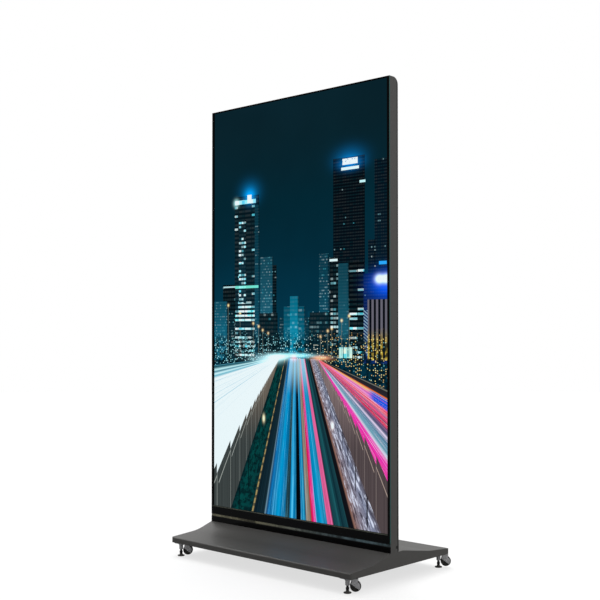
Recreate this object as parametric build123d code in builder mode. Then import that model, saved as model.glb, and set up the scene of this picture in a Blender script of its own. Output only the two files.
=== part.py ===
from build123d import *
import math
import os

os.makedirs("parts", exist_ok=True)

# A free-standing portrait touch display on a castored base. Millimetres, angles in degrees.
# Origin: on the floor, under the middle of the base. +X is the user's right, +Y the back, +Z up.

# ---------------------------------------------------------------- driving dimensions
SIDES = (-1, 1)           # left, right

width = 1090.0            # over the two side panels
base_depth = 673.0
floor_gap = 61.5          # underside of the base above the floor, standing on its feet
edge_h = 24.5             # height of the base edge
block_h = 65.0            # height of the raised block under the head
block_front = -84.5       # front edge of that block
block_rear = 2.0          # rear edge of that block
edge_round = 7.0
plan_round = 10.0         # vertical corners of the base
bend_r = 270.0            # soft bend between the apron and the front ramp
rear_bend_r = 400.0       # the same bend behind the head
apron_angle = 3.96
ramp_angle = 18.43
rear_angle = 9.2          # the ramp behind the head is longer and flatter

top_z = 2104.0
glass_front = -86.0
glass_t = 6.0
side_back = -35.5         # rear edge of the painted sides
head_back = -27.5         # outside of the black rear cover
head_round = 30.0         # rear top corner
glass_bottom = 164.0
strip_bottom = 151.5

active_w = 1065.0         # 86 inch, 16:9, upright
active_bottom = 203.5
active_top = 2098.0

sheet = 2.0
side_t = 3.0
foot_side_t = 12.0        # side panels where they close the base
plate_t = 6.0

half_w = width / 2
half_d = base_depth / 2
block_z = floor_gap + block_h
side_in = half_w - side_t
base_in = half_w - foot_side_t
deck_z = floor_gap + plate_t
glass_back = glass_front + glass_t
cover_in = head_back - sheet


# ---------------------------------------------------------------- helpers
def bar(x0, x1, y0, y1, z0, z1, mode=Mode.ADD):
    """A plain block between two corners, added to the part being built."""
    with Locations(((x0 + x1) / 2, (y0 + y1) / 2, (z0 + z1) / 2)):
        Box(abs(x1 - x0), abs(y1 - y0), abs(z1 - z0), mode=mode)


def bar_y(x, z, half_x, half_z, y0, y1, mode=Mode.ADD):
    """A block along Y, centred on (x, z)."""
    bar(x - half_x, x + half_x, y0, y1, z - half_z, z + half_z, mode)


def rod_y(x, z, r, y0, y1, mode=Mode.ADD):
    """A round bar along Y."""
    with Locations(Location((x, (y0 + y1) / 2, z), (90, 0, 0))):
        Cylinder(r, abs(y1 - y0), mode=mode)


def rod_z(x, y, r, z0, z1, mode=Mode.ADD):
    """A round bar along Z."""
    with Locations((x, y, (z0 + z1) / 2)):
        Cylinder(r, abs(z1 - z0), mode=mode)


def save(piece, name):
    piece.part.label = name
    export_step(piece.part, f"parts/{name}.step")


def yz(x):
    """Sketch plane facing +X: its own x runs along world Y, its own y along world Z."""
    return Plane(origin=(x, 0, 0), x_dir=(0, 1, 0), z_dir=(1, 0, 0))


def xz(y):
    """Sketch plane facing the user, its own x along world X and its own y along world Z."""
    return Plane(origin=(0, y, 0), x_dir=(1, 0, 0), z_dir=(0, -1, 0))


def polar(center, r, angle):
    """Point at radius r and an angle in radians round a centre."""
    return (center[0] + r * math.cos(angle), center[1] + r * math.sin(angle))


# ---------------------------------------------------------------- base outline
def half_profile(inset, bend, ramp_deg, block_edge):
    """Upper half-profile of the base, edge to block, moved inwards. Points in (y, z).

    It is worked out for the front. block_edge is the y of the block's edge.
    """
    apron, ramp = math.radians(apron_angle), math.radians(ramp_deg)
    edge_top = floor_gap + edge_h

    # where the bend must begin on the apron so that the ramp reaches the block's edge
    run = bend * (math.sin(ramp) - math.sin(apron))
    rise = bend * (math.cos(apron) - math.cos(ramp))
    apron_y0 = -half_d + edge_round
    miss = (block_z - edge_top + apron_y0 * math.tan(apron) - rise
            + (run - block_edge) * math.tan(ramp))
    start_y = miss / (math.tan(apron) - math.tan(ramp))
    start_z = edge_top + (start_y - apron_y0) * math.tan(apron)
    bend_c = (start_y - bend * math.sin(apron), start_z + bend * math.cos(apron))

    def on_bend(slope):
        return polar(bend_c, bend + inset, slope - math.pi / 2)

    bend_start, bend_end = on_bend(apron), on_bend(ramp)

    # the edge round's centre lies r below the apron line, measured square to it
    r = edge_round - inset
    round_y = -half_d + inset + r
    round_z = (bend_start[1] - (bend_start[0] - round_y) * math.tan(apron)
               - r / math.cos(apron))
    round_c = (round_y, round_z)
    block_top = block_z - inset
    return {
        "edge": (-half_d + inset, round_z),
        "edge_mid": polar(round_c, r, math.radians(90 + apron_angle + (90 - apron_angle) / 2)),
        "edge_end": polar(round_c, r, math.pi / 2 + apron),
        "bend_start": bend_start,
        "bend_mid": on_bend((apron + ramp) / 2),
        "bend_end": bend_end,
        "top": (bend_end[0] + (block_top - bend_end[1]) / math.tan(ramp), block_top),
    }


def base_lines(inset, z_floor):
    """Draws the closed front and rear profile of the base, down to z_floor."""
    front = half_profile(inset, bend_r, ramp_angle, block_front)
    back = half_profile(inset, rear_bend_r, rear_angle, -block_rear)
    back = {key: (-y, z) for key, (y, z) in back.items()}
    front_foot = (front["edge"][0], z_floor)
    back_foot = (back["edge"][0], z_floor)
    Polyline(front_foot, front["edge"])
    ThreePointArc(front["edge"], front["edge_mid"], front["edge_end"])
    Line(front["edge_end"], front["bend_start"])
    ThreePointArc(front["bend_start"], front["bend_mid"], front["bend_end"])
    Polyline(front["bend_end"], front["top"], back["top"], back["bend_end"])
    ThreePointArc(back["bend_end"], back["bend_mid"], back["bend_start"])
    Line(back["bend_start"], back["edge_end"])
    ThreePointArc(back["edge_end"], back["edge_mid"], back["edge"])
    Polyline(back["edge"], back_foot, front_foot)


# ---------------------------------------------------------------- display stack
film_t = 0.4
cell_front = glass_back + film_t
cell_back = cell_front + 2.0
diffuser_back = cell_back + 2.0
mast_front = -55.0        # the tray's back rests on the mast
tray_half, tray_bottom, tray_top = 541.5, 190.0, 2100.8
tray_t = 1.5
tray_in = mast_front - tray_t
led_count, led_first_z, led_pitch = 10, 300.0, 188.0


def around_picture(side_margin, top_margin, y0, y1, mode=Mode.ADD):
    """A slab over the picture; the lower margin equals the side margin."""
    half = active_w / 2 + side_margin
    bar(-half, half, y0, y1, active_bottom - side_margin, active_top + top_margin, mode)


with BuildPart() as cover_glass:
    bar(-half_w, half_w, glass_front, glass_back, glass_bottom, top_z)
    chamfer(cover_glass.faces().sort_by(Axis.Y)[0].edges(), 0.7)
save(cover_glass, "cover_glass")

with BuildPart() as touch_film:
    around_picture(1.0, 1.0, glass_back, cell_front)
save(touch_film, "touch_film")

with BuildPart() as light_gasket:
    bar(-tray_half, tray_half, glass_back, cell_back, tray_bottom, 2101.0)
    around_picture(1.8, 1.5, glass_back - 1, -77.0, Mode.SUBTRACT)
save(light_gasket, "light_gasket")

with BuildPart() as lcd_cell:
    around_picture(1.5, 1.2, cell_front, cell_back)
save(lcd_cell, "lcd_cell")

with BuildPart() as diffuser_plate:
    around_picture(1.5, 1.2, cell_back, diffuser_back)
save(diffuser_plate, "diffuser_plate")

# folded sheet tray that carries the light bars, open to the front
with BuildPart() as backlight_tray:
    bar(-tray_half, tray_half, cell_back, mast_front, tray_bottom, tray_top)
    bar(-tray_half + tray_t, tray_half - tray_t, -78.0, tray_in,
        tray_bottom + tray_t, tray_top - tray_t, Mode.SUBTRACT)
save(backlight_tray, "backlight_tray")

with BuildPart() as led_bars:
    for i in range(led_count):
        bar_y(0, led_first_z + i * led_pitch, 500.0, 6, tray_in - 1.6, tray_in)
save(led_bars, "led_bars")

# ---------------------------------------------------------------- mast frame
mast_x = 420.0            # middle of each upright
mast_half = 20.0
mast_wall = 2.0
mast_back = -39.0
mast_screw_r = 2.0
screw_z = [260.0, 560.0, 900.0, 1180.0, 1450.0, 1740.0, 2060.0]
rail_z = (215.0, 900.0, 1450.0, 2060.0)
flange_top = deck_z + 8
bolt_r, bolt_hole_r = 4.0, 4.2


def mast_bolt_spots(side):
    """(x, y) of the four bolts through one foot flange."""
    return [(side * mast_x + dx, y) for dx in (-36.0, 36.0) for y in (-70.0, -24.0)]


with BuildPart() as mast_frame:
    for side in SIDES:
        x = side * mast_x
        bar(x - mast_half, x + mast_half, mast_front, mast_back, deck_z, 2070.0)
        # foot flange on the base plate, with two webs
        bar(x - 45, x + 45, -82.0, -12.0, deck_z, flange_top)
        for web_x in (-14.0, 14.0):
            bar(x + web_x - 2.5, x + web_x + 2.5, -78.0, -16.0, flange_top, deck_z + 44)
    for z in rail_z:
        bar_y(0, z, side_in, 10, mast_front, mast_back)
    for side in SIDES:
        x = side * mast_x
        # hollow uprights
        hollow = mast_half - mast_wall
        bar(x - hollow, x + hollow, mast_front + mast_wall, mast_back - mast_wall,
            140.0, 2072.0, Mode.SUBTRACT)
        # bored bosses that reach the rear cover
        for z in screw_z:
            rod_y(x, z, 6.0, mast_back - mast_wall, cover_in)
            rod_y(x, z, mast_screw_r, -43.0, -29.0, Mode.SUBTRACT)
        for bolt_x, bolt_y in mast_bolt_spots(side):
            rod_z(bolt_x, bolt_y, bolt_hole_r, deck_z - 1, flange_top + 1, Mode.SUBTRACT)
save(mast_frame, "mast_frame")

# ---------------------------------------------------------------- side panels
lug_z0, lug_z1 = 140.0, strip_bottom    # black lug of the rear cover in each side panel
lug_y = -45.0
lug_gap = 0.3
side_sheet_bottom = 90.0
corner_c = (head_back - head_round, top_z - head_round)


def corner_point(r, deg):
    """Point (y, z) on a circle round the rear top corner's centre."""
    return polar(corner_c, r, math.radians(deg))


def corner_arc(r, deg0, deg1):
    ThreePointArc(
        corner_point(r, deg0), corner_point(r, (deg0 + deg1) / 2), corner_point(r, deg1)
    )


def cut_angle(r):
    """Where a circle of radius r round the corner centre meets the rear edge of the sides."""
    return math.degrees(math.acos((side_back - corner_c[0]) / r))


def side_panel(side):
    with BuildPart() as panel:
        # the thick part that closes the base
        with BuildSketch(yz(base_in)):
            with BuildLine():
                base_lines(0.0, floor_gap)
            make_face()
        extrude(amount=foot_side_t)
        # vertical corners rounded in plan
        with BuildSketch(Plane.XY.offset(floor_gap - 5)):
            RectangleRounded(width, base_depth, plan_round)
        extrude(amount=block_h + 20, mode=Mode.INTERSECT)
        # the thin sheet that closes the head
        cut = cut_angle(head_round)
        with BuildSketch(yz(side_in)):
            with BuildLine():
                Polyline(
                    (side_back, side_sheet_bottom), (glass_back, side_sheet_bottom),
                    (glass_back, top_z), corner_point(head_round, 90),
                )
                corner_arc(head_round, 90, cut)
                Line(corner_point(head_round, cut), (side_back, side_sheet_bottom))
            make_face()
        extrude(amount=side_t)
        # notch in the rear edge for the rear cover's lug
        bar(side_in - 1, half_w + 1, lug_y - lug_gap, side_back + 1,
            lug_z0 - lug_gap, lug_z1 + lug_gap, Mode.SUBTRACT)
    if side > 0:
        return panel
    with BuildPart() as other:
        mirror(panel.part, about=Plane.YZ)
    return other


save(side_panel(-1), "side_panel_left")
save(side_panel(1), "side_panel_right")

# ---------------------------------------------------------------- top cover
top_t = 3.0

with BuildPart() as top_cover:
    inner_r = head_round - top_t
    outer_cut, inner_cut = cut_angle(head_round), cut_angle(inner_r)
    with BuildSketch(yz(-side_in)):
        with BuildLine():
            Line((glass_back, top_z), corner_point(head_round, 90))
            corner_arc(head_round, 90, outer_cut)
            Line(corner_point(head_round, outer_cut), corner_point(inner_r, inner_cut))
            corner_arc(inner_r, inner_cut, 90)
            Polyline(corner_point(inner_r, 90), (glass_back, top_z - top_t), (glass_back, top_z))
        make_face()
    extrude(amount=2 * side_in)
save(top_cover, "top_cover")

# ---------------------------------------------------------------- rear cover
cover_bottom = block_z + 0.8
door_x, door_z0, door_z1 = 190.0, 390.0, 850.0   # service opening: half width, bottom, top
vent_x, fan_z, speaker_z = 300.0, 1880.0, 300.0
io_x, io_z = 310.0, 175.0                        # middle of the connector opening


def cover_lines(inset, z_floor):
    """Side profile of the rear cover, moved inwards by inset."""
    r = head_round - inset
    cut = cut_angle(r)
    Polyline((side_back, z_floor), (head_back - inset, z_floor), corner_point(r, 0))
    corner_arc(r, 0, cut)
    Line(corner_point(r, cut), (side_back, z_floor))


with BuildPart() as rear_cover:
    with BuildSketch(yz(-half_w)):
        with BuildLine():
            cover_lines(0.0, cover_bottom)
        make_face()
    extrude(amount=width)
    with BuildSketch(yz(-half_w + sheet)):
        with BuildLine():
            cover_lines(sheet, cover_bottom + sheet)
        make_face()
    extrude(amount=width - 2 * sheet, mode=Mode.SUBTRACT)
    # lugs that hook into the side panels
    for side in SIDES:
        bar(side * (half_w - sheet), side * half_w, lug_y, side_back + 4, lug_z0, lug_z1)
    # service opening, connector opening
    bar(-door_x, door_x, side_back - 1, head_back + 1, door_z0, door_z1, Mode.SUBTRACT)
    bar_y(io_x, io_z, 74, 18, side_back - 1, head_back + 1, Mode.SUBTRACT)
    # louvre slots over the fans and the speakers
    for vent_z in (fan_z, speaker_z):
        for side in SIDES:
            with BuildSketch(xz(head_back + 1)):
                with Locations((side * vent_x, vent_z)):
                    with GridLocations(10.5, 56.0, 12, 2):
                        SlotOverall(46.0, 5.0, rotation=90)
            extrude(amount=5.0, mode=Mode.SUBTRACT)
    # screw holes
    for side in SIDES:
        for z in screw_z:
            rod_y(side * mast_x, z, mast_screw_r, -32.0, -26.0, Mode.SUBTRACT)
save(rear_cover, "rear_cover")

head_top = head_back + 2.4
recess_floor = head_back + 1.2
recess_long, recess_short = 2.2, 0.5    # half sizes of the cross recess

with BuildPart() as rear_cover_screws:
    for side in SIDES:
        for z in screw_z:
            rod_y(side * mast_x, z, 4.2, head_back, head_top)
            rod_y(side * mast_x, z, mast_screw_r, -42.0, head_back)
    circles = rear_cover_screws.edges().filter_by(GeomType.CIRCLE)
    fillet(circles.filter_by(lambda e: abs(e.center().Y - head_top) < 0.01), 1.2)
    # cross recess in every head
    for side in SIDES:
        for z in screw_z:
            for half_x, half_z in ((recess_long, recess_short), (recess_short, recess_long)):
                bar_y(side * mast_x, z, half_x, half_z, recess_floor, head_back + 3,
                      Mode.SUBTRACT)
save(rear_cover_screws, "rear_cover_screws")

# ---------------------------------------------------------------- trims under the picture
with BuildPart() as lower_trim:
    bar(-half_w, half_w, glass_front, glass_back, block_z + 0.2, strip_bottom)
    chamfer(lower_trim.faces().sort_by(Axis.Y)[0].edges(), 0.7)
save(lower_trim, "lower_trim")

with BuildPart() as trim_strip:
    bar(-half_w, half_w, glass_front + 2.0, glass_back, strip_bottom, glass_bottom)
save(trim_strip, "trim_strip")

# ---------------------------------------------------------------- electronics
case_front = -51.0        # front of the player and of the power supply
player_x0, player_x1, player_z0, player_z1 = -175.0, -25.0, 700.0, 820.0
player_back = -37.0
supply_x0, supply_x1, supply_z0, supply_z1 = -10.0, 100.0, 480.0, 690.0
board_x0, board_x1, board_z0, board_z1 = -172.0, -30.0, 430.0, 650.0
board_front, board_back = -50.0, -48.4


def legs(x_pair, z_pair, r, y_end):
    """Four round legs from the tray's back to y_end."""
    for x in x_pair:
        for z in z_pair:
            rod_y(x, z, r, mast_front, y_end)


with BuildPart() as media_player:
    bar(player_x0, player_x1, case_front, player_back, player_z0, player_z1)
    fillet(media_player.edges().filter_by(Axis.Y), 5.0)
    # upright cooling fins
    for i in range(11):
        x = player_x0 + 15.0 + i * 12.0
        bar(x - 1.5, x + 1.5, player_back, player_back + 3.0, player_z0 + 8, player_z1 - 8)
    legs((player_x0 + 10, player_x1 - 10), (player_z0 + 10, player_z1 - 10), 4.0, case_front)
save(media_player, "media_player")

with BuildPart() as power_supply:
    bar(supply_x0, supply_x1, case_front, -33.5, supply_z0, supply_z1)
    # grid of round pits in the back
    with BuildSketch(xz(-33.0)):
        with Locations(((supply_x0 + supply_x1) / 2, (supply_z0 + supply_z1) / 2)):
            with GridLocations(12.0, 12.0, 7, 12):
                Circle(3.0)
    extrude(amount=2.0, mode=Mode.SUBTRACT)
    legs((supply_x0 + 10, supply_x1 - 10), (supply_z0 + 10, supply_z1 - 10), 4.0, case_front)
save(power_supply, "power_supply")

with BuildPart() as driver_board:
    bar(board_x0, board_x1, board_front, board_back, board_z0, board_z1)
    legs((board_x0 + 7, board_x1 - 7), (board_z0 + 8, board_z1 - 8), 3.0, board_front)
    bar_y(-112.0, 538.0, 18.0, 18.0, board_back, -40.0)      # processor and its heat sink
    for chip_z in (540.0, 502.0):
        bar_y(-65.0, chip_z, 15.0, 12.0, board_back, -45.4)
    for i in range(4):
        rod_y(-155.0 + i * 16.0, 615.0, 5.0, board_back, -36.5)  # capacitors
    for i in range(3):
        bar_y(-149.0 + i * 34.0, 438.0, 11.0, 8.0, board_back, -40.4)  # sockets
save(driver_board, "driver_board")

# ---------------------------------------------------------------- speakers and fans
vent_box_front = -49.5    # speakers and fans fill the depth up to the rear cover
cone_depth = 6.0
fan_half, fan_bore_r, fan_hub_r, fan_pin_r = 40.0, 38.0, 15.0, 2.0
spoke_back = vent_box_front + 2.0
spoke_long, spoke_short = 39.0, 2.5     # half sizes of the cross behind the hub
rotor_front, rotor_back = -46.5, -32.5
blade_count = 7

with BuildPart() as speakers:
    for side in SIDES:
        bar_y(side * vent_x, speaker_z, 62, 34, vent_box_front, cover_in)
    for side in SIDES:
        # cone set back from the louvres, dust cap in the middle
        with BuildSketch(xz(cover_in)):
            with Locations((side * vent_x, speaker_z)):
                SlotOverall(104.0, 56.0)
        extrude(amount=cone_depth, taper=30, mode=Mode.SUBTRACT)
        rod_y(side * vent_x, speaker_z, 10.0, -36.0, -31.0)
save(speakers, "speakers")

with BuildPart() as fan_frames:
    for side in SIDES:
        bar_y(side * vent_x, fan_z, fan_half, fan_half, vent_box_front, cover_in)
    for side in SIDES:
        rod_y(side * vent_x, fan_z, fan_bore_r, -50.0, -29.0, Mode.SUBTRACT)
    # hub, crossed spokes and rotor pin
    for side in SIDES:
        x = side * vent_x
        rod_y(x, fan_z, fan_hub_r, vent_box_front, spoke_back)
        bar_y(x, fan_z, spoke_long, spoke_short, vent_box_front, spoke_back)
        bar_y(x, fan_z, spoke_short, spoke_long, vent_box_front, spoke_back)
        rod_y(x, fan_z, fan_pin_r, -48.0, -34.0)
save(fan_frames, "fan_frames")

# one pitched blade beside a rotor axis along Z
with BuildPart() as blade:
    with Locations(Location((25.0, 0, 0), (33, 0, 0))):
        Box(23.0, 15.0, 1.6)


def fan_rotor(side):
    x = side * vent_x
    with BuildPart() as rotor:
        rod_y(x, fan_z, fan_hub_r, rotor_front, rotor_back)
        for i in range(blade_count):
            turned = blade.part.rotate(Axis.Z, i * 360.0 / blade_count).rotate(Axis.X, 90)
            add(turned.translate((x, (rotor_front + rotor_back) / 2, fan_z)))
        rod_y(x, fan_z, fan_pin_r + 0.05, -50.0, -30.0, Mode.SUBTRACT)
    return rotor


save(fan_rotor(-1), "fan_rotor_left")
save(fan_rotor(1), "fan_rotor_right")

# ---------------------------------------------------------------- connector plate
inlet_x, rocker_x, button_x = 262.0, 315.0, 358.0
plate_back = head_back + 1.5
inlet_half_x, inlet_half_z = 14.0, 10.5
switch_half_x, switch_half_z = 13.4, 9.5
rocker_y = -30.0          # pivot of the rocker

with BuildPart() as connector_plate:
    bar_y(io_x, io_z, 86, 27, head_back, plate_back)
    fillet(connector_plate.edges().filter_by(Axis.Y), 5.0)
    for x, half_x, half_z in (
        (inlet_x, inlet_half_x, inlet_half_z),
        (rocker_x, switch_half_x, switch_half_z),
    ):
        bar_y(x, io_z, half_x + 0.1, half_z + 0.1, -28.0, -25.0, Mode.SUBTRACT)
    # collar of the push button, a short bush with a shoulder inside
    rod_y(button_x, io_z, 9.0, plate_back, -23.5)
    rod_y(button_x, io_z, 9.0, -36.0, -27.0)
    rod_y(button_x, io_z, 7.1, -34.5, -28.5, Mode.SUBTRACT)
    rod_y(button_x, io_z, 6.1, -29.0, -23.0, Mode.SUBTRACT)
    rod_y(button_x, io_z, 3.1, -37.0, -34.0, Mode.SUBTRACT)
save(connector_plate, "connector_plate")

# socket outline round the inlet's middle, (x, z): a rectangle with two upper corners cut
socket_outline = [
    (-12.0, -8.0), (12.0, -8.0), (12.0, 4.0), (8.0, 8.0), (-8.0, 8.0), (-12.0, 4.0), (-12.0, -8.0),
]
pin_spots = ((-7.0, -2.5), (0.0, 2.0), (7.0, -2.5))

with BuildPart() as mains_inlet:
    bar_y(inlet_x, io_z, inlet_half_x, inlet_half_z, -50.0, plate_back)
    bar_y(inlet_x, io_z, 17.5, 14.0, plate_back, -24.0)
    with BuildSketch(xz(-23.5)):
        with BuildLine():
            Polyline(*[(inlet_x + x, io_z + z) for x, z in socket_outline])
        make_face()
    extrude(amount=17.0, mode=Mode.SUBTRACT)
    for x, z in pin_spots:
        bar_y(inlet_x + x, io_z + z, 1.0, 2.5, -42.0, -28.0)
save(mains_inlet, "mains_inlet")

with BuildPart() as switch_body:
    bar_y(rocker_x, io_z, switch_half_x, switch_half_z, -46.0, plate_back)
    bar_y(rocker_x, io_z, 15.5, 12.0, plate_back, -24.5)
    bar_y(rocker_x, io_z, 11.9, 7.8, -40.0, -24.0, Mode.SUBTRACT)
    rod_z(rocker_x, rocker_y, 2.0, io_z - 9.0, io_z + 9.0, Mode.SUBTRACT)
save(switch_body, "switch_body")

# the rocker, drawn level round its pivot, rests tipped to "off"
with BuildPart() as rocker_flat:
    with BuildSketch(Plane.XY.offset(-7.5)):
        with BuildLine():
            Polyline((-11.0, -4.0), (11.0, -4.0), (11.0, 6.0))
            ThreePointArc((11.0, 6.0), (0.0, 4.0), (-11.0, 6.0))
            Line((-11.0, 6.0), (-11.0, -4.0))
        make_face()
    extrude(amount=15.0)
    rod_z(0, 0, 1.95, -8.8, 8.8)
with BuildPart() as rocker:
    add(rocker_flat.part.rotate(Axis.Z, -8.0).translate((rocker_x, rocker_y, io_z)))
save(rocker, "rocker")

with BuildPart() as power_button:
    rod_y(button_x, io_z, 6.0, -31.5, -22.0)
    rod_y(button_x, io_z, 7.0, -31.5, -29.1)
    rod_y(button_x, io_z, 3.0, -38.0, -31.0)
    fillet(power_button.faces().sort_by(Axis.Y)[-1].edges(), 0.8)
save(power_button, "power_button")

# ---------------------------------------------------------------- service door
door_gap = 1.0
rim_t = 1.5               # rim folded forwards round the door
pin_x, pin_y, pin_r = -195.0, -24.5, 1.5
knuckle_r = 3.0
knuckle_half = 8.6        # half height of the door's middle knuckle
leaf_half = 25.0          # half height of the hinge leaves
leaf_gap = 3.4            # from the pin's axis to the full-height leaf
leaf_back = head_back + 1.2
hinge_z = (475.0, 765.0)
lock_x, lock_z = 160.0, 620.0

with BuildPart() as service_door:
    door_half = door_x - door_gap
    bottom, top = door_z0 + door_gap, door_z1 - door_gap
    bar(-door_half, door_half, cover_in, head_back, bottom, top)
    bar(-door_half, door_half, -32.5, cover_in, bottom, top)
    bar(-door_half + rim_t, door_half - rim_t, -33.0, cover_in,
        bottom + rim_t, top - rim_t, Mode.SUBTRACT)
    for z in hinge_z:
        bar(pin_x + leaf_gap, -160.0, head_back, leaf_back, z - leaf_half, z + leaf_half)
        bar(pin_x, pin_x + 4.0, head_back, leaf_back, z - knuckle_half, z + knuckle_half)
        rod_z(pin_x, pin_y, knuckle_r, z - knuckle_half, z + knuckle_half)
        rod_z(pin_x, pin_y, pin_r + 0.05, z - 10, z + 10, Mode.SUBTRACT)
    rod_y(lock_x, lock_z, 9.0, -30.0, -27.0, Mode.SUBTRACT)
save(service_door, "service_door")

with BuildPart() as door_hinges:
    for z in hinge_z:
        bar(-230.0, pin_x - leaf_gap, head_back, leaf_back, z - leaf_half, z + leaf_half)
        # outer knuckles, below and above the door's own
        for z0, z1 in ((z - leaf_half, z - 9), (z + 9, z + leaf_half)):
            bar(pin_x - 4.0, pin_x, head_back, leaf_back, z0, z1)
            rod_z(pin_x, pin_y, knuckle_r, z0, z1)
            rod_z(pin_x, pin_y, pin_r, z0 - 1, z1 + 1, Mode.SUBTRACT)
save(door_hinges, "door_hinges")

with BuildPart() as hinge_pins:
    for z in hinge_z:
        rod_z(pin_x, pin_y, pin_r, z - leaf_half - 0.5, z + leaf_half + 0.5)
save(hinge_pins, "hinge_pins")

plug_r = 6.0
with BuildPart() as lock_barrel:
    rod_y(lock_x, lock_z, 9.0, -40.0, head_back)
    rod_y(lock_x, lock_z, 11.5, head_back, head_back + 2.0)
    rod_y(lock_x, lock_z, 12.0, -33.5, cover_in)
    rod_y(lock_x, lock_z, plug_r + 0.05, -41.0, -25.0, Mode.SUBTRACT)
save(lock_barrel, "lock_barrel")

# the turning plug, with its cam hanging down at the inner end and a key slot outside
with BuildPart() as lock_plug:
    rod_y(lock_x, lock_z, plug_r, -42.5, -25.3)
    bar(lock_x - 7.0, lock_x + 7.0, -42.5, -40.5, lock_z - 38.0, lock_z + 7.0)
    bar_y(lock_x, lock_z, 0.8, 4.0, -28.5, -25.0, Mode.SUBTRACT)
    fillet(lock_plug.edges().filter_by(Axis.Y).sort_by(Axis.Z)[:2], 3.0)
save(lock_plug, "lock_plug")


# ---------------------------------------------------------------- cables
def cable(y, points, r):
    """A round cable at one depth y, through (x, z) points with rounded turns."""
    with BuildPart() as run:
        with BuildLine() as path:
            FilletPolyline(*[(x, y, z) for x, z in points], radius=14.0)
        with BuildSketch(Plane(origin=path.line @ 0, z_dir=path.line % 0)):
            Circle(r)
        sweep()
    return run


mains_route = [
    (inlet_x - inlet_half_x, io_z), (212.0, io_z), (212.0, 430.0), (60.0, 430.0),
    (60.0, supply_z0),
]
player_route = [(20.0, supply_z1), (20.0, 760.0), (player_x1, 760.0)]
mains_lead = cable(-36.0, mains_route, 2.5)
player_lead = cable(-40.0, player_route, 2.0)
with BuildPart() as cable_harness:
    add(mains_lead.part)
    add(player_lead.part)
save(cable_harness, "cable_harness")

# ---------------------------------------------------------------- base
foot_x = 506.0            # swivel and foot axis of each corner
foot_y = 310.0
corners = {
    "front_left": (-foot_x, -foot_y),
    "front_right": (foot_x, -foot_y),
    "rear_left": (-foot_x, foot_y),
    "rear_right": (foot_x, foot_y),
}
castor_screw_r = 2.0
mast_gap = 2.0            # round the uprights where they pass the base cover


def castor_screw_spots(cx, cy):
    """(x, y) of the four screws of one castor plate."""
    return [(cx + dx, cy + dy) for dx in (-17.0, 17.0) for dy in (-17.0, 17.0)]


with BuildPart() as base_cover:
    with BuildSketch(yz(-base_in)):
        with BuildLine():
            base_lines(0.0, floor_gap)
        make_face()
    extrude(amount=2 * base_in)
    with BuildSketch(yz(-base_in)):
        with BuildLine():
            base_lines(sheet, floor_gap - 5)
        make_face()
    extrude(amount=2 * base_in, mode=Mode.SUBTRACT)
    # openings for the uprights, and one in the middle
    slot_front = mast_front - mast_gap
    for side in SIDES:
        x, half = side * mast_x, mast_half + mast_gap
        bar(x - half, x + half, slot_front, mast_back + mast_gap, 110.0, 140.0, Mode.SUBTRACT)
    bar(-40.0, 40.0, slot_front, -40.0, 110.0, 140.0, Mode.SUBTRACT)
save(base_cover, "base_cover")

with BuildPart() as base_plate:
    bar(-base_in, base_in, -half_d + 2.3, half_d - 2.3, floor_gap, deck_z)
    for cx, cy in corners.values():
        rod_z(cx, cy, 6.5, floor_gap - 1, deck_z + 1, Mode.SUBTRACT)
        for x, y in castor_screw_spots(cx, cy):
            rod_z(x, y, castor_screw_r, floor_gap - 1, deck_z + 1, Mode.SUBTRACT)
    for side in SIDES:
        for x, y in mast_bolt_spots(side):
            rod_z(x, y, bolt_hole_r, floor_gap - 1, deck_z + 1, Mode.SUBTRACT)
save(base_plate, "base_plate")

with BuildPart() as ballast_blocks:
    for side in SIDES:
        for y0, y1 in ((-300.0, -130.0), (130.0, 300.0)):
            bar(side * 30, side * 370, y0, y1, deck_z, deck_z + 12)
save(ballast_blocks, "ballast_blocks")

with BuildPart() as mast_bolts:
    for side in SIDES:
        for x, y in mast_bolt_spots(side):
            rod_z(x, y, bolt_r, floor_gap, flange_top)
            with BuildSketch(Plane(origin=(x, y, flange_top))):
                RegularPolygon(7.5, 6)
            extrude(amount=5.5)
save(mast_bolts, "mast_bolts")

# ---------------------------------------------------------------- levelling castors
trail = 32.0              # swivel axis to wheel axle
wheel_r = 22.5
wheel_w = 18.0
wheel_lift = 6.0
castor_turn = 43.2        # all four castors trail the same way, degrees from +X
kingpin_r, stem_r, axle_r = 7.0, 5.0, 3.0
housing_r = 8.9           # neck of the swivel housing
fork_half = 13.0          # half width over the cheeks
cheek_t = 3.0
axle_head_r, axle_head_t = 4.6, 1.4
axle_z = wheel_lift + wheel_r
plate_z = floor_gap - 2.9

with BuildPart() as castor_plates:
    for cx, cy in corners.values():
        bar(cx - 23, cx + 23, cy - 23, cy + 23, plate_z, floor_gap)
        rod_z(cx, cy, kingpin_r, 31.5, plate_z + 1)
    upright = castor_plates.edges().filter_by(Axis.Z)
    fillet(upright.filter_by(lambda e: e.length < 3.0), 4.0)
    for cx, cy in corners.values():
        rod_z(cx, cy, stem_r + 0.05, 30.0, floor_gap + 1, Mode.SUBTRACT)
        for x, y in castor_screw_spots(cx, cy):
            rod_z(x, y, castor_screw_r + 0.05, plate_z - 1, floor_gap + 1, Mode.SUBTRACT)
            with Locations((x, y, plate_z + 1.0)):
                Cone(4.05, castor_screw_r + 0.05, 2.0, mode=Mode.SUBTRACT)
save(castor_plates, "castor_plates")

with BuildPart() as castor_screws:
    for cx, cy in corners.values():
        for x, y in castor_screw_spots(cx, cy):
            rod_z(x, y, castor_screw_r, plate_z + 1.5, deck_z)
            with Locations((x, y, plate_z + 1.0)):
                Cone(4.0, castor_screw_r, 2.0)
save(castor_screws, "castor_screws")

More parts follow.
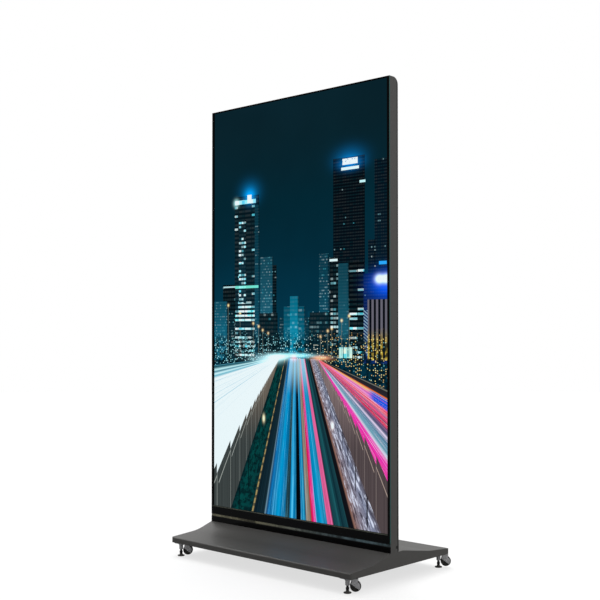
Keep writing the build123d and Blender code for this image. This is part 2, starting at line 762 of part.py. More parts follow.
with BuildPart() as castor_retainers:
    for cx, cy in corners.values():
        rod_z(cx, cy, housing_r, 32.0, 33.8)
        rod_z(cx, cy, kingpin_r, 31.0, 35.0, Mode.SUBTRACT)
save(castor_retainers, "castor_retainers")

turn = math.radians(castor_turn)
trail_x, trail_y = math.cos(turn), math.sin(turn)
trail_dir = (trail_x, trail_y, 0)
axle_dir = (trail_y, -trail_x, 0)


def across(cx, cy, shift=0.0):
    """Upright plane through the swivel axis along the trail, moved sideways along the axle."""
    origin = (cx + trail_y * shift, cy - trail_x * shift, 0)
    return Plane(origin=origin, x_dir=trail_dir, z_dir=axle_dir)


def castor_fork(cx, cy):
    # each cheek is a disc round the axle, cut below by a slanting chord
    cheek_r, chord_offset = 18.0, 2.9
    slant = math.radians(36.0)
    axle = (trail, axle_z)
    chord_x = trail - chord_offset * math.sin(slant)
    chord_z = axle_z - chord_offset * math.cos(slant)
    half = math.sqrt(cheek_r ** 2 - chord_offset ** 2)
    low = (chord_x + half * math.cos(slant), chord_z - half * math.sin(slant))
    near = (13.0, chord_z + (chord_x - 13.0) * math.tan(slant))
    high_angle = math.radians(62.0)
    low_angle = math.atan2(low[1] - axle_z, low[0] - trail)
    high = polar(axle, cheek_r, high_angle)
    mid = polar(axle, cheek_r, (low_angle + high_angle) / 2)
    with BuildPart() as fork:
        # flared swivel housing
        with BuildSketch(across(cx, cy)):
            with BuildLine():
                Polyline((0, 58.4), (15.5, 58.4), (15.0, 56.0))
                ThreePointArc((15.0, 56.0), (10.4, 51.6), (housing_r, 45.0))
                Polyline((housing_r, 45.0), (housing_r, 34.0), (0, 34.0), (0, 58.4))
            make_face()
        revolve(axis=Axis((cx, cy, 0), (0, 0, 1)))
        # bridge over the wheel
        with BuildSketch(Plane(origin=(cx, cy, 52.6), x_dir=trail_dir, z_dir=(0, 0, 1))):
            with Locations((trail / 2 + 5.5, 0)):
                RectangleRounded(trail + 11.0, 2 * fork_half, 6.0)
        extrude(amount=5.6)
        # two half-round cheeks
        for shift in (fork_half - cheek_t, -fork_half):
            with BuildSketch(across(cx, cy, shift)):
                with BuildLine():
                    Polyline((16.5, 57.0), (16.0, 47.0), near, low)
                    ThreePointArc(low, mid, high)
                    Polyline(high, (high[0], 57.0), (16.5, 57.0))
                make_face()
            extrude(amount=cheek_t)
        with BuildSketch(across(cx, cy, -15)):
            with Locations(axle):
                Circle(axle_r)
        extrude(amount=30.0, mode=Mode.SUBTRACT)
        rod_z(cx, cy, kingpin_r + 0.05, 30.0, 60.0, Mode.SUBTRACT)
    return fork


def castor_wheel(cx, cy):
    half, r, bore_r = wheel_w / 2, wheel_r, axle_r + 0.03
    shoulder, sag = 4.0, 1.17    # shoulder radius, and its middle's distance from the corner
    center = (cx + trail_x * trail, cy + trail_y * trail, axle_z)
    with BuildPart() as wheel:
        # tread with rounded shoulders, recessed hub faces; x along the axle, y the radius
        with BuildSketch(Plane(origin=center, x_dir=axle_dir, z_dir=(-trail_x, -trail_y, 0))):
            with BuildLine():
                Polyline(
                    (-half, bore_r), (-half, 7.0), (-half + 3, 8.5), (-half + 3, 15.0),
                    (-half, 16.5), (-half, r - shoulder),
                )
                ThreePointArc(
                    (-half, r - shoulder), (-half + sag, r - sag), (-half + shoulder, r)
                )
                Line((-half + shoulder, r), (half - shoulder, r))
                ThreePointArc((half - shoulder, r), (half - sag, r - sag), (half, r - shoulder))
                Polyline(
                    (half, r - shoulder), (half, 16.5), (half - 3, 15.0), (half - 3, 8.5),
                    (half, 7.0), (half, bore_r), (-half, bore_r),
                )
            make_face()
        revolve(axis=Axis(center, axle_dir))
    return wheel


def castor_axle(cx, cy):
    with BuildPart() as axle:
        with BuildSketch(across(cx, cy, -fork_half)):
            with Locations((trail, axle_z)):
                Circle(axle_r)
        extrude(amount=2 * fork_half)
        for shift in (-fork_half - axle_head_t, fork_half):
            with BuildSketch(across(cx, cy, shift)):
                with Locations((trail, axle_z)):
                    Circle(axle_head_r)
            extrude(amount=axle_head_t)
        # round the outermost of the four rims, the first and the last along the axle
        circles = axle.edges().filter_by(GeomType.CIRCLE)
        rims = circles.filter_by(lambda e: abs(e.radius - axle_head_r) < 0.01)
        fillet(rims.sort_by(lambda e: Vector(*axle_dir).dot(e.center()))[::3], 0.9)
    return axle


def foot_stem(cx, cy):
    with BuildPart() as stem:
        rod_z(cx, cy, stem_r, 11.2, 72.0)
        rod_z(cx, cy, 3.5, 5.0, 11.5)
        with BuildSketch(Plane(origin=(cx, cy, 14.0))):
            RegularPolygon(7.5, 6)
        extrude(amount=9.0)
        chamfer(stem.faces().sort_by(Axis.Z)[-1].edges(), 1.0)
    return stem


# half section of the foot pad: (radius, height)
pad_profile = [
    (3.55, 5.0), (0, 5.0), (0, 0), (15.0, 0), (16.0, 1.0), (16.0, 3.2), (15.2, 4.0),
    (8.0, 6.4), (6.6, 11.0), (3.55, 11.0), (3.55, 5.0),
]


def foot_pad(cx, cy):
    with BuildPart() as pad:
        with BuildSketch(Plane(origin=(cx, cy, 0), x_dir=(1, 0, 0), z_dir=(0, -1, 0))):
            with BuildLine():
                Polyline(*pad_profile)
            make_face()
        revolve(axis=Axis((cx, cy, 0), (0, 0, 1)))
    return pad


for corner, (cx, cy) in corners.items():
    for build in (castor_fork, castor_wheel, castor_axle, foot_stem, foot_pad):
        save(build(cx, cy), f"{build.__name__}_{corner}")
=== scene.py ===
import math

import bmesh
import bpy
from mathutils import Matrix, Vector


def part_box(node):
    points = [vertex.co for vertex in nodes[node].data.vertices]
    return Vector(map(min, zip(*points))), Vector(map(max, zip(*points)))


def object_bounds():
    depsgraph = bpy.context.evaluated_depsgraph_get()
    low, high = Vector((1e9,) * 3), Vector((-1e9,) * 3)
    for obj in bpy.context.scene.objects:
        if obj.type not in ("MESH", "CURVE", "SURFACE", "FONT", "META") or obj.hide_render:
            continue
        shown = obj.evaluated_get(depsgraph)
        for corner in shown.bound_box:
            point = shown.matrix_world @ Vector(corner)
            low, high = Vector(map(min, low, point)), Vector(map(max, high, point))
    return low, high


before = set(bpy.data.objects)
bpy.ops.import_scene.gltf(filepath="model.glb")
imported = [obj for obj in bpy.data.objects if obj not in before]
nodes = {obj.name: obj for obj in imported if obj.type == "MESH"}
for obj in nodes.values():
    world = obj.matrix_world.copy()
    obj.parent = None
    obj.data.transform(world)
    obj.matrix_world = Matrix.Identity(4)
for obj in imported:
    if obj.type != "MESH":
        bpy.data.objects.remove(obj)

cad_box = [[float(c) for c in p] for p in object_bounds()]
scene = bpy.context.scene


# ------------------------------------------------------------------ node helpers
def lin(r, g, b):
    """0-255 display colour to the linear colour nodes work in."""
    out = []
    for c in (r, g, b):
        c = c / 255.0
        out.append(c / 12.92 if c <= 0.04045 else ((c + 0.055) / 1.055) ** 2.4)
    return tuple(out) + (1.0,)


class V:
    """A number in a node tree. Sums and products of these become Math nodes."""

    def __init__(self, g, s):
        self.g, self.s = g, s

    def __add__(self, o):
        return self.g.m("ADD", self, o)

    __radd__ = __add__

    def __sub__(self, o):
        return self.g.m("SUBTRACT", self, o)

    def __rsub__(self, o):
        return self.g.m("SUBTRACT", o, self)

    def __mul__(self, o):
        return self.g.m("MULTIPLY", self, o)

    __rmul__ = __mul__

    def __truediv__(self, o):
        return self.g.m("DIVIDE", self, o)

    def __rtruediv__(self, o):
        return self.g.m("DIVIDE", o, self)

    def __gt__(self, o):
        return self.g.m("GREATER_THAN", self, o)

    def __lt__(self, o):
        return self.g.m("LESS_THAN", self, o)

    def floor(self):
        return self.g.m("FLOOR", self)

    def fract(self):
        return self.g.m("FRACT", self)

    def abs(self):
        return self.g.m("ABSOLUTE", self)

    def sin(self):
        return self.g.m("SINE", self)

    def exp(self):
        return self.g.m("EXPONENT", self)

    def pow(self, o):
        return self.g.m("POWER", self, o)

    def clamp(self):
        return self.g.m("ADD", self, 0.0, clamp=True)

    def max(self, o):
        return self.g.m("MAXIMUM", self, o)

    def min(self, o):
        return self.g.m("MINIMUM", self, o)


class Graph:
    def __init__(self, name):
        self.mat = bpy.data.materials.new(name)
        self.mat.use_nodes = True
        self.nt = self.mat.node_tree
        self.nt.nodes.clear()
        self.out = self.new("ShaderNodeOutputMaterial")
        self.count = 0

    def new(self, kind, **props):
        n = self.nt.nodes.new(kind)
        for k, v in props.items():
            setattr(n, k, v)
        return n

    def put(self, socket, value):
        if isinstance(value, V):
            value = value.s
        if hasattr(value, "is_output"):
            self.nt.links.new(value, socket)
        else:
            socket.default_value = value

    def m(self, op, a, b=None, c=None, clamp=False):
        n = self.new("ShaderNodeMath", operation=op, use_clamp=clamp)
        self.put(n.inputs[0], a)
        if b is not None:
            self.put(n.inputs[1], b)
        if c is not None:
            self.put(n.inputs[2], c)
        return V(self, n.outputs[0])

    def coords(self):
        """Object-space x, y, z, in metres."""
        t = self.new("ShaderNodeTexCoord")
        s = self.new("ShaderNodeSeparateXYZ")
        self.nt.links.new(t.outputs["Object"], s.inputs[0])
        self.point = t.outputs["Object"]
        return tuple(V(self, s.outputs[i]) for i in range(3))

    def vec(self, x=0.0, y=0.0, z=0.0):
        n = self.new("ShaderNodeCombineXYZ")
        for i, v in enumerate((x, y, z)):
            self.put(n.inputs[i], v)
        return n.outputs[0]

    def scaled(self, vec, s):
        n = self.new("ShaderNodeVectorMath", operation="MULTIPLY")
        self.put(n.inputs[0], vec)
        n.inputs[1].default_value = s if isinstance(s, tuple) else (s, s, s)
        return n.outputs[0]

    def noise(self, vec=None, scale=1.0, detail=2.0, rough=0.5, w=None, dims="3D", distortion=0.0):
        n = self.new("ShaderNodeTexNoise", noise_dimensions=dims)
        if vec is not None and dims != "1D":
            self.put(n.inputs["Vector"], vec)
        if w is not None:
            self.put(n.inputs["W"], w)
        n.inputs["Scale"].default_value = scale
        n.inputs["Detail"].default_value = detail
        n.inputs["Roughness"].default_value = rough
        n.inputs["Distortion"].default_value = distortion
        return V(self, n.outputs["Fac"])

    def white(self, a, b=None):
        if b is None:
            n = self.new("ShaderNodeTexWhiteNoise", noise_dimensions="1D")
            self.put(n.inputs["W"], a)
        else:
            n = self.new("ShaderNodeTexWhiteNoise", noise_dimensions="2D")
            self.put(n.inputs["Vector"], self.vec(a, b))
        return V(self, n.outputs["Value"])

    def ramp(self, fac, stops, mode="LINEAR"):
        n = self.new("ShaderNodeValToRGB")
        n.color_ramp.interpolation = mode
        els = n.color_ramp.elements
        while len(els) > 1:
            els.remove(els[-1])
        els[0].position, els[0].color = stops[0]
        for p, c in stops[1:]:
            e = els.new(p)
            e.color = c
        self.put(n.inputs[0], fac)
        return n.outputs[0]

    def step(self, x, lo, hi):
        """0 below lo, 1 above hi, smooth between."""
        n = self.new("ShaderNodeMapRange", interpolation_type="SMOOTHSTEP")
        self.put(n.inputs["Value"], x)
        n.inputs["From Min"].default_value = lo
        n.inputs["From Max"].default_value = hi
        return V(self, n.outputs["Result"])

    def span(self, x, lo, hi):
        return self.m("MULTIPLY", self.m("GREATER_THAN", x, lo), self.m("LESS_THAN", x, hi))

    def mix(self, fac, a, b, kind="MIX"):
        n = self.new("ShaderNodeMix", data_type="RGBA", blend_type=kind)
        self.put(n.inputs[0], fac)
        self.put(n.inputs[6], a)
        self.put(n.inputs[7], b)
        return n.outputs[2]

    def gain(self, colour, f):
        """Colour times a number."""
        n = self.new("ShaderNodeVectorMath", operation="SCALE")
        self.put(n.inputs[0], colour[:3] if isinstance(colour, tuple) else colour)
        self.put(n.inputs[3], f)
        return n.outputs[0]

    def add(self, a, b):
        n = self.new("ShaderNodeVectorMath", operation="ADD")
        self.put(n.inputs[0], a[:3] if isinstance(a, tuple) else a)
        self.put(n.inputs[1], b[:3] if isinstance(b, tuple) else b)
        return n.outputs[0]

    def surface(self, shader):
        self.nt.links.new(shader, self.out.inputs["Surface"])

    def bevel(self, radius, samples=4):
        n = self.new("ShaderNodeBevel", samples=samples)
        n.inputs["Radius"].default_value = radius
        return n.outputs[0]

    def edge(self, soft):
        """0 on flat faces, rising towards 1 on a convex edge, from the bevelled normal."""
        geo = self.new("ShaderNodeNewGeometry")
        d = self.new("ShaderNodeVectorMath", operation="DOT_PRODUCT")
        self.nt.links.new(soft, d.inputs[0])
        self.nt.links.new(geo.outputs["Normal"], d.inputs[1])
        return V(self, d.outputs["Value"])

    def bump(self, height, distance, strength=1.0, normal=None):
        n = self.new("ShaderNodeBump")
        n.inputs["Strength"].default_value = strength
        n.inputs["Distance"].default_value = distance
        self.put(n.inputs["Height"], height)
        if normal is not None:
            self.nt.links.new(normal, n.inputs["Normal"])
        return n.outputs[0]


def finish_of(name, colour, rough, metallic=0.0, vary=0.10, vary_scale=4.0, grain=900.0, depth=0.00002,
              rough_vary=0.12, edge_wear_and_glint=0.0, edge_wear_and_glint_colour=None, radius=0.0006, coat=0.0, stretch=None, spec=0.5, dust=0.0,
              speckle=0.0, edge_shade_band=None):
    """One worked finish: broad tone variation, fine grain in bump and roughness, lighter edges (rubbed wear on most
    finishes, a painted highlight on the cast alloy), optional dust low down, optional painted shade line along a
    sheet's edges.
    """
    g = Graph(name)
    x, y, z = g.coords()
    p = g.point
    broad = g.noise(p, vary_scale, 4.0, 0.6)
    fine_vec = g.scaled(p, stretch) if stretch else p
    fine = g.noise(fine_vec, grain, 3.0, 0.55)
    tone = (broad - 0.5) * (2 * vary) + 1.0
    tone = tone + (fine - 0.5) * (speckle + 0.04)
    col = g.gain(colour, tone)
    if dust:
        d = g.noise(p, 60.0, 5.0, 0.65)
        low = g.step(z, 0.16, 0.0)
        col = g.mix((d * low * dust).clamp(), col, lin(150, 146, 138))
    soft = g.bevel(radius)
    # lighter edges from the bevelled normal: rubbed wear on most finishes; at full strength in near-white, as on the
    # cast alloy, a painted highlight standing in for bright edge glints
    if edge_wear_and_glint:
        e = g.edge(soft)
        scuff_and_glint = g.noise(p, 140.0, 4.0, 0.6)
        mask = ((1.0 - e) * 9.0 * (scuff_and_glint * 1.6)).clamp() * edge_wear_and_glint
        col = g.mix(mask.clamp(), col, edge_wear_and_glint_colour or lin(170, 170, 168))
    if edge_shade_band:
        # painted shade: a near-black band along the sheet's side and top edges stands in for the dark shadow line along
        # the rear edge of the head
        m = g.step(x.abs(), edge_shade_band[0] - 0.0045, edge_shade_band[0] - 0.0025).max(g.step(z, edge_shade_band[1] - 0.0045, edge_shade_band[1] - 0.0025))
        col = g.mix(m, col, g.gain(lin(7, 7, 6), tone))
    b = g.new("ShaderNodeBsdfPrincipled")
    g.put(b.inputs["Base Color"], col)
    g.put(b.inputs["Metallic"], metallic)
    g.put(b.inputs["Roughness"], ((broad - 0.5) * rough_vary + (fine - 0.5) * rough_vary + rough).clamp())
    g.put(b.inputs["Specular IOR Level"], spec)
    if coat:
        g.put(b.inputs["Coat Weight"], coat)
        g.put(b.inputs["Coat Roughness"], 0.06)
    g.put(b.inputs["Normal"], g.bump(fine, depth, 1.0, soft))
    g.surface(b.outputs[0])
    return g.mat


def put_on(mat, *names):
    for n in names:
        o = nodes[n]
        o.data.materials.clear()
        o.data.materials.append(mat)
        for poly in o.data.polygons:
            poly.material_index = 0


# ------------------------------------------------------------------ finishes
PAINT = lin(74, 73, 71)
paint = finish_of("paint_dark_grey", PAINT, 0.44, vary=0.05, vary_scale=2.5, grain=1100.0, depth=0.00003,
                  edge_wear_and_glint=0.16, edge_wear_and_glint_colour=lin(112, 112, 110), radius=0.0009, spec=0.45, speckle=0.10)
paint_black = finish_of("paint_black", lin(33, 33, 34), 0.44, vary=0.06, vary_scale=3.0, grain=1200.0, depth=0.00003,
                        edge_wear_and_glint=0.12, edge_wear_and_glint_colour=lin(60, 60, 60), radius=0.0007, spec=0.35, speckle=0.12)
cover_lo, cover_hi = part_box("rear_cover")
# rear cover: black paint with a painted near-black shade line along its side and top edges
paint_cover = finish_of("paint_black_shaded_edges", lin(33, 33, 34), 0.44, vary=0.06, vary_scale=3.0, grain=1200.0,
                        depth=0.00003, edge_wear_and_glint=0.12, edge_wear_and_glint_colour=lin(60, 60, 60), radius=0.0007, spec=0.35, speckle=0.12,
                        edge_shade_band=(cover_hi.x, cover_hi.z))
zinc = finish_of("zinc_sheet", lin(178, 181, 184), 0.34, 1.0, vary=0.12, vary_scale=24.0, grain=300.0, depth=0.00001,
                 edge_wear_and_glint=0.2, stretch=(1.0, 1.0, 0.15), radius=0.0005)
raw = finish_of("plain_steel", lin(120, 120, 122), 0.42, 1.0, vary=0.2, vary_scale=14.0, grain=500.0, depth=0.00002,
                edge_wear_and_glint=0.3, radius=0.0006)
bright = finish_of("bright_steel", lin(205, 206, 208), 0.2, 1.0, vary=0.08, vary_scale=60.0, grain=1500.0, depth=0.000006,
                   edge_wear_and_glint=0.15, radius=0.0003)
black_steel = finish_of("black_steel", lin(30, 30, 31), 0.36, 0.6, vary=0.15, vary_scale=80.0, grain=1800.0, depth=0.00001,
                        edge_wear_and_glint=0.5, edge_wear_and_glint_colour=lin(120, 120, 120), radius=0.0003)
gloss = finish_of("gloss_black", lin(4, 4, 5), 0.10, vary=0.2, vary_scale=9.0, grain=240.0, depth=0.0000006,
                  rough_vary=0.05, edge_wear_and_glint=0.08, edge_wear_and_glint_colour=lin(60, 60, 60), radius=0.0006, spec=0.12)

plastic = finish_of("moulded_black", lin(24, 24, 25), 0.5, vary=0.08, vary_scale=40.0, grain=1600.0, depth=0.00002,
                    edge_wear_and_glint=0.25, edge_wear_and_glint_colour=lin(90, 90, 90), radius=0.0004)
# painted highlight: edges lightened to near-white at full strength stand in for the bright glints along the castor
# bodies' edges
alloy = finish_of("cast_alloy", lin(188, 188, 190), 0.28, 0.55, vary=0.10, vary_scale=90.0, grain=1400.0, depth=0.00002,
                  edge_wear_and_glint=1.0, edge_wear_and_glint_colour=lin(250, 250, 252), radius=0.0011, dust=0.08)
nylon = finish_of("castor_nylon", lin(10, 10, 11), 0.46, vary=0.15, vary_scale=70.0, grain=1500.0, depth=0.00003,
                  edge_wear_and_glint=0.25, edge_wear_and_glint_colour=lin(70, 69, 67), radius=0.0005, dust=0.15)
rubber = finish_of("foot_rubber", lin(22, 22, 22), 0.62, vary=0.15, vary_scale=90.0, grain=1300.0, depth=0.00004,
                   edge_wear_and_glint=0.3, edge_wear_and_glint_colour=lin(85, 82, 78), radius=0.0005, dust=0.4)
foam = finish_of("black_foam", lin(9, 9, 9), 0.9, vary=0.15, vary_scale=200.0, grain=1500.0, depth=0.0001, spec=0.2)
milky = finish_of("milky_plastic", lin(228, 229, 226), 0.5, vary=0.03, vary_scale=12.0, grain=900.0, depth=0.00001)
anodised = finish_of("anodised_aluminium", lin(122, 124, 127), 0.36, 1.0, vary=0.06, vary_scale=20.0, grain=900.0,
                     depth=0.00001, stretch=(1.0, 1.0, 0.08), edge_wear_and_glint=0.4, radius=0.0005)
board = finish_of("circuit_board", lin(24, 92, 52), 0.4, vary=0.3, vary_scale=160.0, grain=420.0, depth=0.00003,
                  edge_wear_and_glint=0.3, radius=0.0003)
sheath = finish_of("cable_sheath", lin(18, 18, 19), 0.55, vary=0.1, vary_scale=60.0, grain=900.0, depth=0.00003)



def strip_material():
    """Thin satin strip between two black parts, brushed along its length. Its colour carries a painted reflection:
    patchy brightness along the strip, a brighter middle across its height, and a warm-to-cool shift from left to right.
    """
    g = Graph("strip_satin_painted_sheen")
    x, y, z = g.coords()
    brush = g.noise(g.scaled(g.point, (0.03, 1.0, 1.0)), 900.0, 3.0, 0.6)
    # painted reflection: patchy brightness along the strip, brighter across its middle, warm on the left and cool on
    # the right
    sheen_patch = g.noise(dims="1D", w=x * 7.0 + 1.7, scale=1.0, detail=4.0, rough=0.65)
    sheen_across = g.step(z, strip_z0, strip_z0 + 0.004) * g.step(z, strip_z1, strip_z1 - 0.003)
    warm = g.mix(g.step(x, -0.30, 0.35), lin(150, 146, 120), lin(104, 128, 136))
    tone = (g.step(sheen_patch, 0.34, 0.62) * 0.9 + 0.25) * (sheen_across * 0.8 + 0.2) * ((brush - 0.5) * 0.5 + 1.0)
    b = g.new("ShaderNodeBsdfPrincipled")
    g.put(b.inputs["Base Color"], g.gain(warm, tone))
    g.put(b.inputs["Metallic"], 0.35)
    g.put(b.inputs["Roughness"], ((brush - 0.5) * 0.3 + 0.34).clamp())
    g.put(b.inputs["Normal"], g.bump(brush, 0.00001, 1.0, g.bevel(0.0004)))
    g.surface(b.outputs[0])
    return g.mat


strip_lo, strip_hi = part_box("trim_strip")
strip_z0, strip_z1 = strip_lo.z, strip_hi.z
strip = strip_material()

put_on(paint, "side_panel_left", "side_panel_right", "top_cover", "base_cover")
put_on(paint_cover, "rear_cover")
put_on(paint_black, "service_door", "base_plate")
put_on(zinc, "backlight_tray", "mast_frame", "power_supply", "castor_plates")
put_on(raw, "ballast_blocks", "mast_bolts")
put_on(bright, "door_hinges", "hinge_pins", "lock_barrel", "lock_plug", "power_button", "castor_screws", "castor_retainers")
put_on(black_steel, "rear_cover_screws")
put_on(gloss, "lower_trim", "rocker")
put_on(strip, "trim_strip")
put_on(plastic, "speakers", "fan_frames", "fan_rotor_left", "fan_rotor_right", "connector_plate", "mains_inlet", "switch_body")
put_on(foam, "light_gasket")
put_on(milky, "diffuser_plate", "led_bars")
put_on(anodised, "media_player")
put_on(board, "driver_board")
put_on(sheath, "cable_harness")
for c in ("front_left", "front_right", "rear_left", "rear_right"):
    put_on(alloy, f"castor_fork_{c}")
    put_on(nylon, f"castor_wheel_{c}")
    put_on(bright, f"castor_axle_{c}")
    put_on(black_steel, f"foot_stem_{c}")
    put_on(rubber, f"foot_pad_{c}")

# ------------------------------------------------------------------ where the picture is
cell_lo, cell_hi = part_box("lcd_cell")
glass_lo, glass_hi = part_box("cover_glass")
PX = (cell_hi.x - cell_lo.x) / 2 - 0.0015       # half width of the lit area
PZ0 = cell_lo.z + 0.0015
PZ1 = cell_hi.z - 0.0012


# ------------------------------------------------------------------ cover glass
def glass_material():
    g = Graph("cover_glass")
    x, y, z = g.coords()
    geo = g.new("ShaderNodeNewGeometry")
    vt = g.new("ShaderNodeVectorTransform", vector_type="NORMAL", convert_from="WORLD", convert_to="OBJECT")
    g.nt.links.new(geo.outputs["True Normal"], vt.inputs[0])
    sep = g.new("ShaderNodeSeparateXYZ")
    g.nt.links.new(vt.outputs[0], sep.inputs[0])
    rim = V(g, sep.outputs[1]).abs() < 0.5
    inside = g.span(x, -PX, PX) * g.span(z, PZ0, PZ1)
    smear = g.noise(g.point, 7.0, 5.0, 0.65, distortion=0.6)
    dots = g.noise(g.point, 420.0, 2.0, 0.5)
    rough = ((smear - 0.5) * 0.05 + 0.035).clamp()
    # the clear window
    clear = g.new("ShaderNodeBsdfTransparent")
    g.put(clear.inputs["Color"], (0.985, 0.995, 0.992, 1))
    # painted reflection: an emission added to the clear window on the outer face stands in for the weak, even sheen of
    # the room off the anti-glare coating, stronger at a slant
    fres = g.new("ShaderNodeFresnel")
    fres.inputs["IOR"].default_value = 1.45
    mirror = g.new("ShaderNodeTexCoord")
    way = g.new("ShaderNodeSeparateXYZ")
    g.nt.links.new(mirror.outputs["Reflection"], way.inputs[0])
    face = 1.0 - V(g, geo.outputs["Backfacing"])
    room = g.step(V(g, way.outputs[2]), -0.1, 0.9) * 0.7 + 0.28
    painted_sheen = V(g, fres.outputs[0]) * face * room * ((smear - 0.5) * 0.5 + 1.0) * 0.36
    sheen = g.new("ShaderNodeEmission")
    g.put(sheen.inputs["Strength"], 0.2)
    g.put(sheen.inputs["Color"], g.gain((0.96, 0.98, 1.0, 1.0), painted_sheen))
    window = g.new("ShaderNodeAddShader")
    g.nt.links.new(clear.outputs[0], window.inputs[0])
    g.nt.links.new(sheen.outputs[0], window.inputs[1])
    # black ceramic print round the window
    mask = g.new("ShaderNodeBsdfPrincipled")
    # painted highlight: a fine, flickering light line on the print just below the lower edge of the window stands in
    # for the glint along the window's edge
    edge_glint = g.span(z, PZ0 - 0.0042, PZ0 - 0.0004) * g.span(x, -PX, PX)
    glint_flick = g.noise(dims="1D", w=x * 16.0, scale=1.0, detail=4.0, rough=0.7)
    ink = g.gain(lin(4, 5, 6), (dots - 0.5) * 0.5 + 1.0)
    g.put(mask.inputs["Base Color"], g.mix((edge_glint * (glint_flick * 1.4 - 0.1)).clamp(), ink, lin(120, 124, 112)))
    g.put(mask.inputs["Roughness"], (rough + 0.03).clamp())
    g.put(mask.inputs["Specular IOR Level"], 0.12)
    # ground green edge
    edge = g.new("ShaderNodeBsdfPrincipled")
    g.put(edge.inputs["Base Color"], g.gain(lin(26, 84, 80), (dots - 0.5) * 0.3 + (smear - 0.5) * 0.5 + 1.0))
    g.put(edge.inputs["Roughness"], 0.22)
    g.put(edge.inputs["Normal"], g.bump(dots, 0.00001))
    a = g.new("ShaderNodeMixShader")
    g.put(a.inputs[0], inside)
    g.nt.links.new(mask.outputs[0], a.inputs[1])
    g.nt.links.new(window.outputs[0], a.inputs[2])
    b = g.new("ShaderNodeMixShader")
    g.put(b.inputs[0], rim)
    g.nt.links.new(a.outputs[0], b.inputs[1])
    g.nt.links.new(edge.outputs[0], b.inputs[2])
    g.surface(b.outputs[0])
    return g.mat


def film_material():
    g = Graph("touch_film")
    x, y, z = g.coords()
    # fine sensor grid, almost invisible
    lines = ((x * 200.0).fract() < 0.04).max((z * 200.0).fract() < 0.04)
    wob = g.noise(g.point, 3.0, 2.0, 0.5)
    clear = g.new("ShaderNodeBsdfTransparent")
    g.put(clear.inputs["Color"], g.mix(lines * 0.012, g.mix(wob * 0.02, (1, 1, 1, 1), (0.9, 0.95, 1.0, 1)), (0.5, 0.5, 0.5, 1)))
    g.surface(clear.outputs[0])
    return g.mat


